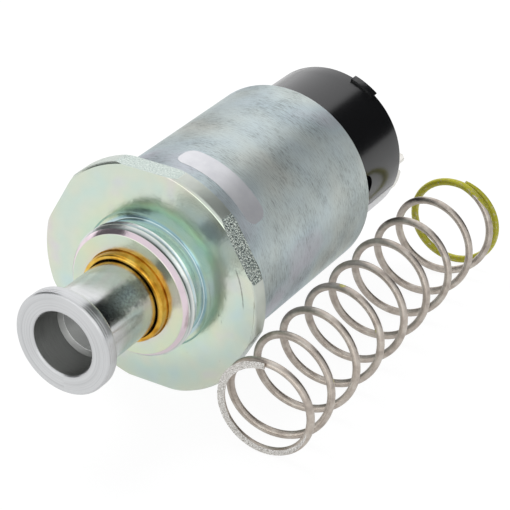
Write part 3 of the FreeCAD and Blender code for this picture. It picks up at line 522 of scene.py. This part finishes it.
ground_end = make_clouded(
    "coarse_ground_steel", {"Scale": 4.0, "Roughness": 0.7},
    [(0.35, "#9d9892"), (0.55, "#e2dfda"), (0.7, "#ffffff")], 0.10,
    {"Metallic": 1.0, "Roughness": 0.36})
tinned = make_clouded(
    "tinned_brass", {"Scale": 0.8, "Roughness": 0.6}, [(0.3, "#cfccc4"), (0.6, "#e6e4de")], 0.02,
    {"Metallic": 1.0, "Roughness": 0.22}, spread=0.18)
label_film = make_clouded(
    "silvered_label_film", {"Scale": 0.25, "Roughness": 0.6}, [(0.3, "#d3d3d7"), (0.6, "#dddde0")],
    0.03, {"Metallic": 0.5, "Roughness": 0.42, "Coat Weight": 0.35, "Coat Roughness": 0.25})

# %% [markdown]
# ## Plastics and rubber
#
# The cap is injection-moulded black PBT with a fine gloss, IOR about 1.55. Very slight waviness,
# about 1 mm across, breaks its reflections. Inside there are a nylon bobbin, polyester tape, fibre
# washers, rubber seals and PVC leads.

# %% Mouldings and tapes
def make_plastic(name, tone, roughness, scale, height, ior, spread=0.0):
    made, tree = material(name)
    cloud = add(tree, "TexNoise", {
        "Vector": place_mm(tree), "Scale": scale, "Detail": 4.0, "Roughness": 0.6,
    })
    base = colour(tone)
    dark = (*(0.8 * c for c in base[:3]), 1.0)
    if spread:
        roughness = add(tree, "Math", {0: cloud, 1: spread, 2: roughness}, operation="MULTIPLY_ADD")
    return surface(made, {
        "Base Color": add(tree, "Mix", {0: cloud, 6: dark, 7: base}, 2, data_type="RGBA"), "IOR": ior,
        "Roughness": roughness,
        "Normal": add(tree, "Bump", {"Height": cloud, "Distance": height * MM}),
    })


black_pbt = make_plastic("moulded_black_pbt", "#161617", 0.15, 1.1, 0.006, 1.55, 0.06)
nylon = make_plastic("natural_nylon", "#dcd6c4", 0.40, 0.8, 0.02, 1.53)
film_tape = make_plastic("polyester_tape", "#d0a640", 0.18, 0.5, 0.02, 1.6)
fibre = make_plastic("vulcanised_fibre", "#5c3322", 0.60, 1.5, 0.04, 1.5)
rubber = make_plastic("black_rubber", "#1b1b1b", 0.62, 1.2, 0.03, 1.52)
lead_jacket = make_plastic("pvc_lead_jacket", "#a3201a", 0.36, 0.6, 0.02, 1.53)

# %% [markdown]
# The windings are enamelled copper wire 0.5 mm thick. Seen from outside, a winding is a row of
# turns, so its colour and height follow half a sine wave for each turn along the axis. The colour
# darkens into the gaps between turns, which is painted shade.

# %% Windings
WINDING_WIRE = 0.5


def make_winding():
    made, tree = material("enamelled_copper_winding")
    along = add(tree, "SeparateXYZ", {0: place_mm(tree)}, 1)
    phase = add(tree, "Math", {0: along, 1: math.pi / WINDING_WIRE}, operation="MULTIPLY")
    wave = add(tree, "Math", {0: phase}, operation="SINE")
    rows_and_gap_shade = add(tree, "Math", {0: wave}, operation="ABSOLUTE")
    # Dark in the gaps between turns: painted shade in the creases.
    tint = add(tree, "ValToRGB", {0: rows_and_gap_shade}, stops=[
        (0.0, "#5c2410"), (0.5, "#b4602c"), (1.0, "#c9743a"),
    ])
    return surface(made, {
        "Base Color": tint, "Metallic": 0.8, "Roughness": 0.30, "Coat Weight": 0.5,
        "Normal": add(tree, "Bump", {"Height": rows_and_gap_shade, "Distance": 0.2 * MM}),
    })


winding = make_winding()

# %% [markdown]
# ## Modelling helpers
#
# Nearly every piece was made on a lathe, so it is modelled as one is turned: a profile of
# (radius, place along the axis) corners, spun once round the axis. Bevelling the profile's corners
# before the spin rounds every edge of the finished piece by the small radius that a real edge
# has, which is what catches the light. Sizes are in millimetres in the row's frame.

# %% Turning and finishing
TURN_STEPS = 256
BROAD_EDGE = 0.4
AXIS = Vector((0, 1, 0))


def turn(mesh, corners):
    """Spins a closed profile round the axis. A corner is radius, place along the axis, edge radius."""
    verts = [mesh.verts.new((radius * MM, along * MM, 0)) for radius, along, _ in corners]
    for pair in zip(verts, verts[1:] + verts[:1]):
        mesh.edges.new(pair)
    radii = {}
    for vert, (_, _, edge_radius) in zip(verts, corners):
        if edge_radius:
            radii.setdefault(edge_radius, []).append(vert)
    new = set(verts)
    for radius, group in radii.items():
        bevelled = bmesh.ops.bevel(
            mesh, geom=group, offset=radius * MM, offset_type="OFFSET",
            segments=8 if radius > BROAD_EDGE else 3, profile=0.5, affect="VERTICES", material=-1,
            clamp_overlap=True,
        )
        new = {v for v in new if v.is_valid} | set(bevelled["verts"])
    chain = [v for v in new if v.is_valid]
    lines = [e for e in mesh.edges if all(v in new for v in e.verts)]
    bmesh.ops.spin(
        mesh, geom=chain + lines, cent=(0, 0, 0), axis=AXIS, dvec=(0, 0, 0), angle=2 * math.pi,
        steps=TURN_STEPS, use_merge=True, use_normal_flip=False, use_duplicate=False,
    )
    bmesh.ops.remove_doubles(mesh, verts=mesh.verts, dist=1e-7)
    bmesh.ops.recalc_face_normals(mesh, faces=mesh.faces)


def finish_piece(name, mesh, finishes, body, stands_for=(), sharp=32.0):
    """Turns a bmesh into a piece of the scene that rides on a body."""
    bmesh.ops.dissolve_degenerate(mesh, dist=1e-8, edges=mesh.edges)
    data = bpy.data.meshes.new(name)
    mesh.to_mesh(data)
    mesh.free()
    for finish in finishes:
        data.materials.append(finish)
    data.polygons.foreach_set("use_smooth", [True] * len(data.polygons))
    data.set_sharp_from_angle(angle=math.radians(sharp))
    piece = bpy.data.objects.new(name, data)
    bpy.context.scene.collection.objects.link(piece)
    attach(piece, body)
    if stands_for:
        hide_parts(*stands_for)
    print(name, "has", sum(len(p.vertices) - 2 for p in data.polygons), "triangles")
    return piece


print("a full turn has", TURN_STEPS, "steps")

# %% [markdown]
# ## The collar
#
# The real collar starts as hexagonal bar. The boss, the relief behind the thread and the flange's
# corners are turned, and the six flats keep the bar's skin. The same order works here: spin the
# whole profile with the flange at its turned corner radius, then slice six flats off it with
# bisect planes and fill each cut with one flat face, which takes the second material.

# %% Turned collar
FLAT = 25.5
CORNER = 26.6
BOSS_FRONT = -7.44
collar = bmesh.new()
turn(collar, [
    (10.37, BOSS_FRONT, 0.0), (13.75, BOSS_FRONT, 0.12), (14.62, -6.44, 0.05), (14.12, -6.15, 0.05),
    (14.12, -3.5, 0.1), (13.8, -3.1, 0.3), (13.8, 0.3, 0.3), (15.5, 0.3, 0.25), (15.6, 0.0, 0.1),
    (26.1, 0.0, 0.12), (CORNER, 0.5, 0.15), (CORNER, 3.9, 0.15), (26.1, 4.4, 0.1), (20.2, 4.4, 0.0),
    (20.2, 8.4, 0.1), (10.12, 8.4, 0.0), (10.12, -7.19, 0.0),
])
for number in range(6):
    turned_by = math.radians(60 * number)
    outward = Vector((math.sin(turned_by), 0, math.cos(turned_by)))
    bmesh.ops.bisect_plane(
        collar, geom=collar.verts[:] + collar.edges[:] + collar.faces[:], dist=1e-8,
        plane_co=outward * FLAT * MM, plane_no=outward, clear_outer=True, clear_inner=False,
    )
    rim = [e for e in collar.edges if e.is_boundary]
    for flat in bmesh.ops.holes_fill(collar, edges=rim, sides=0)["faces"]:
        flat.material_index = 1
bmesh.ops.recalc_face_normals(collar, faces=collar.faces)
finish_piece("collar", collar, [clear_zinc, mill_skin], "solenoid", ["mounting_collar"])

# %% [markdown]
# The mounting thread is M30 with a pitch of 1.5 mm, and a little over two turns of it are cut
# between the nose chamfer and the relief. A screw spin, which is a spin that also moves along the
# axis, draws the ridge from its profile. Pressing the ridge's outer points down to the chamfer's
# cone makes the thread run in as it does when the chamfer is turned first.

# %% Mounting thread
PITCH = 1.5
THREAD_START = -8.2
THREAD_TURNS = 3.4
THREAD_STEPS = 144
MAJOR_RADIUS = 15.0
NOSE_RADIUS, NOSE_RISE, NOSE_LENGTH = 13.70, 1.3, 1.5
RUN_OUT_FROM, RUN_OUT_SLOPE = -3.8, 1.3
INSIDE_BOSS, RIDGE_FRONT = 13.2, -7.2
thread = bmesh.new()
ridge = [(14.0, -0.74), (14.95, -0.14), (15.0, -0.08), (15.0, 0.08), (14.95, 0.14), (14.0, 0.74)]
points = [thread.verts.new((0, (THREAD_START + y) * MM, r * MM)) for r, y in ridge]
lines = [thread.edges.new(pair) for pair in zip(points, points[1:])]
steps = int(THREAD_STEPS * THREAD_TURNS)
bmesh.ops.spin(
    thread, geom=points + lines, cent=(0, 0, 0), axis=AXIS, angle=2 * math.pi * THREAD_TURNS,
    dvec=Vector((0, PITCH * MM * THREAD_TURNS / steps, 0)), steps=steps, use_merge=False,
    use_normal_flip=False, use_duplicate=False,
)
for vert in thread.verts:
    reach = math.hypot(vert.co.x, vert.co.z) / MM
    along = vert.co.y / MM
    nose = NOSE_RADIUS + (along - BOSS_FRONT) * NOSE_RISE / NOSE_LENGTH
    run_out = MAJOR_RADIUS - max(0.0, along - RUN_OUT_FROM) * RUN_OUT_SLOPE
    allowed = max(INSIDE_BOSS, min(reach, nose, run_out))
    vert.co.x *= allowed / reach
    vert.co.z *= allowed / reach
    vert.co.y = max(vert.co.y, RIDGE_FRONT * MM)
bmesh.ops.recalc_face_normals(thread, faces=thread.faces)
finish_piece("collar_thread", thread, [clear_zinc], "solenoid", sharp=40.0)

# %% [markdown]
# ## The case
#
# A drawn tube, 44.45 mm across, pushed over the collar's spigot. Its rear rim is rolled inwards
# over the cap's flange, which leaves a rounded edge that catches a bright line.

# %% Case
case = bmesh.new()
turn(case, [
    (20.225, 4.4, 0.0), (21.9, 4.4, 0.0), (22.225, 4.75, 0.2), (22.225, 55.2, 0.95), (18.8, 55.2, 0.3),
    (18.8, 53.7, 0.1), (20.225, 53.7, 0.0),
])
finish_piece("case", case, [case_zinc], "solenoid", ["case_tube"])

# %% [markdown]
# ## The guide tube and the plunger
#
# The brass tube stands 2.3 mm out of the boss, with its outer edge rounded over and a gap of
# 0.25 mm round the plunger. The plunger is turned from bar: a head with a drilled socket, a
# groove-marked rim, a ground shaft and a rear cone. Its faces get their finish by where they are:
# the socket's wall is dull, the head is turned, and the shaft is ground and plated.

# %% Guide tube
tube = bmesh.new()
turn(tube, [
    (9.2, -9.70, 0.03), (10.1, -9.70, 0.7), (10.1, 47.9, 0.1), (9.1, 47.9, 0.1), (9.1, -9.6, 0.03),
])
finish_piece("brass_tube", tube, [brass], "solenoid", ["guide_tube"])

# %% Plunger
HEAD_BACK = -26.4
SOCKET_RADIUS, SOCKET_MOUTH, SOCKET_FLOOR = 7.2, -29.8, -21.2
plunger = bmesh.new()
turn(plunger, [
    (0.0, -21.06, 0.0), (6.23, -21.06, 0.04), (7.13, -21.96, 0.04), (7.13, -29.7, 0.1),
    (7.45, -30.06, 0.1), (11.15, -30.06, 0.12), (11.5, -29.7, 0.1), (11.5, -29.35, 0.03),
    (11.43, -29.27, 0.03), (11.5, -29.19, 0.03), (11.5, -28.75, 0.03), (11.44, -28.68, 0.03),
    (11.5, -28.61, 0.03), (11.5, -27.3, 0.15), (10.85, -26.56, 0.2), (8.85, -26.56, 0.45),
    (8.85, 16.9, 0.1), (8.45, 17.3, 0.1), (7.6, 17.3, 0.1), (5.0, 22.3, 0.2), (0.0, 22.3, 0.0),
])
for face in plunger.faces:
    centre = face.calc_center_median()
    along = centre.y / MM
    reach = math.hypot(centre.x, centre.z) / MM
    if along < HEAD_BACK:
        face.material_index = 1
    if reach < SOCKET_RADIUS and SOCKET_MOUTH < along < SOCKET_FLOOR:
        face.material_index = 2
finishes = [ground_steel, turned_steel, drilled_steel]
finish_piece("plunger_bar", plunger, finishes, "plunger", ["plunger"])

# %% [markdown]
# ## The terminal cap and its blades
#
# These solids already have the right shape, but they come as loose flat triangles, so light would
# break at every facet. A copy of each is merged, and its edges get the small radius that a mould
# or a blanking tool leaves.

# %% Smooth copies of solids
def dressed_copy(node, name, finish, body, edge_mm):
    """A merged copy of a node with rounded edges, which stands for it."""
    mesh = bmesh.new()
    mesh.from_mesh(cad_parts[node].data)
    bmesh.ops.remove_doubles(mesh, verts=mesh.verts, dist=2e-6)
    piece = finish_piece(name, mesh, [finish], body, [node], sharp=30.0)
    rounded = piece.modifiers.new("edges", "BEVEL")
    rounded.width = edge_mm * MM
    rounded.segments = 2
    rounded.limit_method = "ANGLE"
    rounded.angle_limit = math.radians(40)
    rounded.harden_normals = True
    rounded.use_clamp_overlap = True


dressed_copy("terminal_cap", "cap_moulding", black_pbt, "solenoid", 0.08)
for use in ("pull", "hold", "common"):
    dressed_copy("terminal_" + use, use + "_blade", tinned, "solenoid", 0.06)

# %% [markdown]
# ## The return spring
#
# Round wire, 1.7 mm thick, coiled to the left over ten turns: one closed turn, eight open ones and
# one closed turn. Three screw spins in a row draw it from one circle, the closed turns advancing
# by the wire's thickness. The spring maker then grinds both ends flat, and so do two bisect
# planes. Last, the coil is moved to where it lies on the floor, a little turned in.

# %% Return spring
WIRE = 1.7
COIL_RADIUS = 10.15
FREE_LENGTH = 90.9
GROUND = 1.2
TURNS = 9.97
BEYOND = GROUND - WIRE / 2
ACTIVE_PITCH = (FREE_LENGTH + 2 * BEYOND - 2 * WIRE) / (TURNS - 2)
STEPS_PER_TURN = 72
LIES_AT = Vector((34.8, -9.9, -14.5))
TURNED_IN = 2.35
coil = bmesh.new()
ring = bmesh.ops.create_circle(coil, cap_ends=False, segments=20, radius=WIRE / 2 * MM)["verts"]
bmesh.ops.rotate(coil, verts=ring, cent=(0, 0, 0), matrix=Matrix.Rotation(math.pi / 2, 3, "Y"))
bmesh.ops.translate(coil, verts=ring, vec=(0, -BEYOND * MM, COIL_RADIUS * MM))
geometry = ring + coil.edges[:]
for turns, advance in ((1.0, WIRE), (TURNS - 2, ACTIVE_PITCH), (1.0, WIRE)):
    steps = int(round(turns * STEPS_PER_TURN))
    geometry = bmesh.ops.spin(
        coil, geom=geometry, cent=(0, 0, 0), axis=AXIS, angle=-2 * math.pi * turns,
        dvec=Vector((0, advance * MM * turns / steps, 0)), steps=steps, use_merge=False,
        use_normal_flip=False, use_duplicate=False,
    )["geom_last"]
bmesh.ops.holes_fill(coil, edges=[e for e in coil.edges if e.is_boundary], sides=0)
for place, outward in ((0.0, -AXIS), (FREE_LENGTH * MM, AXIS)):
    bmesh.ops.bisect_plane(
        coil, geom=coil.verts[:] + coil.edges[:] + coil.faces[:], dist=1e-8,
        plane_co=AXIS * place, plane_no=outward, clear_outer=True, clear_inner=False,
    )
    rim = [e for e in coil.edges if e.is_boundary]
    for flat in bmesh.ops.holes_fill(coil, edges=rim, sides=0)["faces"]:
        flat.material_index = 1
bmesh.ops.recalc_face_normals(coil, faces=coil.faces)
lie = Matrix.Translation(LIES_AT * MM) @ Matrix.Rotation(math.radians(TURNED_IN), 4, "Z")
bmesh.ops.transform(coil, matrix=lie, verts=coil.verts)
finishes = [spring_wire, ground_end]
finish_piece("coil_spring", coil, finishes, "solenoid", ["return_spring"])

# %% [markdown]
# ## The two labels
#
# A strip of film 6 mm wide with rounded ends is stuck round the case just behind the flange, and a
# second, wider one covers the underside of the cap. Each starts as one flat face with bevelled
# corners, is sliced across so that it can bend, and every point is then wrapped onto its round
# wall. The first drifts a little along the case, as it was stuck on by hand.

# %% Labels
FILM = 0.07
LIFT = 0.055
LABEL_STEPS = 60


def wrap_label(name, first, last, width, corner, middle, drift, radius_front, radius_rear):
    """A label from one angle to another, in degrees from the top towards the spring."""
    mesh = bmesh.new()
    span = math.radians(last - first)
    arc = span * radius_front
    bmesh.ops.create_grid(mesh, x_segments=1, y_segments=1, size=0.5)
    bmesh.ops.scale(mesh, vec=(arc, width, 1), verts=mesh.verts)
    bmesh.ops.bevel(
        mesh, geom=mesh.verts[:], offset=corner, offset_type="OFFSET", segments=8, profile=0.5,
        affect="VERTICES", material=-1, clamp_overlap=True,
    )
    for cut in range(1, LABEL_STEPS):
        bmesh.ops.bisect_plane(
            mesh, geom=mesh.verts[:] + mesh.edges[:] + mesh.faces[:], dist=1e-6,
            plane_co=(arc * (cut / LABEL_STEPS - 0.5), 0, 0), plane_no=(1, 0, 0),
        )
    bmesh.ops.solidify(mesh, geom=mesh.faces[:], thickness=FILM)
    for vert in mesh.verts:
        share = vert.co.x / arc + 0.5
        down = vert.co.y / width + 0.5
        angle = math.radians(first) + span * share
        wall = radius_front + (radius_rear - radius_front) * down
        radius = (wall + LIFT + vert.co.z) * MM
        along = (middle + drift * share + vert.co.y) * MM
        vert.co = Vector((radius * math.sin(angle), along, radius * math.cos(angle)))
    bmesh.ops.recalc_face_normals(mesh, faces=mesh.faces)
    finish_piece(name, mesh, [label_film], "solenoid", sharp=30.0)


wrap_label(
    "case_label", first=-3.2, last=56.0, width=6.2, corner=2.4, middle=15.4, drift=-1.1,
    radius_front=22.225, radius_rear=22.225)
wrap_label(
    "cap_label", first=111.0, last=176.0, width=19.2, corner=0.8, middle=65.8, drift=0.0,
    radius_front=18.573, radius_rear=18.455)

# %% [markdown]
# ## Hidden pieces
#
# The core, windings, washers, seals and leads sit inside the closed case. Their solids have the
# right shape, so they stay as they are and only get their real finishes.

# %% Finishes of the hidden pieces
INSIDE = {
    "fixed_core": bare_steel, "residual_disc": brass, "bobbin": nylon, "hold_winding": winding,
    "interlayer_tape": film_tape, "pull_winding": winding, "winding_wrap": film_tape,
    "spring_washer": bare_steel, "insulating_washer": fibre, "end_plate": bare_steel,
    "cap_gasket": rubber, "tube_seal": rubber, "lead_pull": lead_jacket, "lead_hold": lead_jacket,
    "lead_common": lead_jacket,
}
for node, finish in INSIDE.items():
    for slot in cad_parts[node].material_slots:
        slot.material = finish
    print(node, "->", finish.name)

# %% [markdown]
# ## Floor and light
#
# The photo was taken in a white tent: a broad soft light above and to the left, a white floor that
# the metal mirrors from below, and a darker corner up and to the right. The world draws these by
# direction for reflections, and is plain white for the camera. One large soft lamp gives the object
# its shadow on the white paper.

# %% Floor
FLOOR = -25.5
BELOW = 0.02
floor = bmesh.new()
bmesh.ops.create_grid(floor, x_segments=1, y_segments=1, size=3.0)
bmesh.ops.translate(floor, verts=floor.verts, vec=(0, 0, (FLOOR - BELOW) * MM))
floor_data = bpy.data.meshes.new("floor")
floor.to_mesh(floor_data)
floor.free()
floor_object = bpy.data.objects.new("floor", floor_data)
bpy.context.scene.collection.objects.link(floor_object)


def make_floor_paper():
    """Matt white paper that the camera and mirrors see as nearly plain white, with a faint shadow."""
    made, tree = material("white_paper")
    path = add(tree, "LightPath").node.outputs
    mirrored = add(tree, "Math", {
        0: path["Is Glossy Ray"], 1: path["Is Transmission Ray"],
    }, operation="MAXIMUM")
    mirrored = add(tree, "Math", {0: mirrored, 1: 0.55}, operation="MULTIPLY")
    share = add(tree, "Math", {
        0: path["Is Camera Ray"], 1: 0.88, 2: mirrored,
    }, operation="MULTIPLY_ADD")
    paper = add(tree, "BsdfDiffuse", {"Color": colour("#f4f4f4")})
    glow = add(tree, "Emission", {"Color": colour("#ffffff"), "Strength": 1.06})
    add(tree, "OutputMaterial", {0: add(tree, "MixShader", {0: share, 1: paper, 2: glow})})
    return made


floor_data.materials.append(make_floor_paper())
print("floor at", FLOOR, "mm")

# %% [markdown]
# A round part shows its surroundings as stripes, one for each direction around its axis. Read from
# the stripes on the shaft, the case and the cap, the tent is bright from the left up to straight
# above, then dark down to the right horizon wherever one looks towards the back. Towards the front
# the right side is pale again, apart from a narrow dark gap, which is why the brushed case shows
# only a faint stripe and the polished plunger a dark one.

# %% World
# Light over 1 has no hex, so the tent's three levels are linear.
PALE_SIDE = (0.90, 0.91, 0.92, 1.0)
BRIGHT_SIDE = (1.22, 1.22, 1.24, 1.0)
LIT_FRONT = (1.9, 1.9, 1.88, 1.0)
FLAG_TOWARD = (-0.83, -0.20, 0.52)
world = bpy.data.worlds.new("white_tent")
bpy.context.scene.world = world
world.use_nodes = True
sky = world.node_tree
sky.nodes.clear()
toward = add(sky, "TexCoord", out="Generated")
parts = add(sky, "SeparateXYZ", {0: toward}).node.outputs
back, up = parts[1], parts[2]
around = add(sky, "Math", {0: parts[0], 1: up}, operation="ARCTAN2")
around = add(sky, "Math", {0: around, 1: 180 / math.pi}, operation="MULTIPLY")
dark = mask(sky, (around, 8.0, 14.0), (around, 95.0, 88.0), (back, 0.38, 0.58))
gap = mask(sky, (around, 10.0, 18.0), (around, 50.0, 36.0), (back, -0.30, 0.0))
gap = add(sky, "Math", {0: gap, 1: 0.85}, operation="MULTIPLY")
dark = add(sky, "Math", {0: dark, 1: gap}, operation="MAXIMUM")
left = mask(sky, (around, 12.0, 2.0), (back, -0.3, 0.2))
ahead = mask(sky, (back, -0.72, -0.90), (up, 0.5, 0.3))
flag = add(sky, "VectorMath", {0: toward, 1: FLAG_TOWARD}, "Value", operation="DOT_PRODUCT")
flag = add(sky, "MapRange", {0: flag, 1: 0.88, 2: 0.94}, interpolation_type="SMOOTHSTEP")
flag = add(sky, "Math", {0: flag, 1: 0.9}, operation="MULTIPLY")
tent = PALE_SIDE
for zone, light in (
        (left, BRIGHT_SIDE), (ahead, LIT_FRONT), (dark, colour("#2a2b2e")), (flag, colour("#26282a"))):
    tent = add(sky, "Mix", {0: zone, 6: tent, 7: light}, 2, data_type="RGBA")
path = add(sky, "LightPath").node.outputs
mirrored = add(sky, "Background", {"Color": tent, "Strength": 1.0})
plain = add(sky, "Background", {"Color": colour("#ffffff"), "Strength": 1.0})
soft = add(sky, "Background", {"Color": colour("#eef0f2"), "Strength": 0.62})
by_gloss = add(sky, "MixShader", {0: path["Is Glossy Ray"], 1: soft, 2: mirrored})
by_camera = add(sky, "MixShader", {0: path["Is Camera Ray"], 1: by_gloss, 2: plain})
add(sky, "OutputWorld", {0: by_camera})
print("made", world.name, "with", len(sky.nodes), "nodes")

# %% [markdown]
# The lamp is a soft disc above the left shoulder of the case. It is hidden from reflections, where
# the tent already stands for it.

# %% Lamp
lamp_data = bpy.data.lights.new("key", "AREA")
lamp_data.shape = "DISK"
lamp_data.size = 0.55
lamp_data.energy = 5.0
lamp = bpy.data.objects.new("key", lamp_data)
lamp.location = (-0.45, 0.25, 0.75)
lamp_sight = Vector((0, 0.02, 0)) - lamp.location
lamp.rotation_euler = lamp_sight.to_track_quat("-Z", "Y").to_euler()
lamp.visible_glossy = False
bpy.context.scene.collection.objects.link(lamp)
print("lamp of", lamp_data.energy, "W,", round(lamp_sight.length, 2), "m away")

# %% View settings
scene = bpy.context.scene
scene.view_settings.view_transform = "Standard"
print("view transform", scene.view_settings.view_transform)
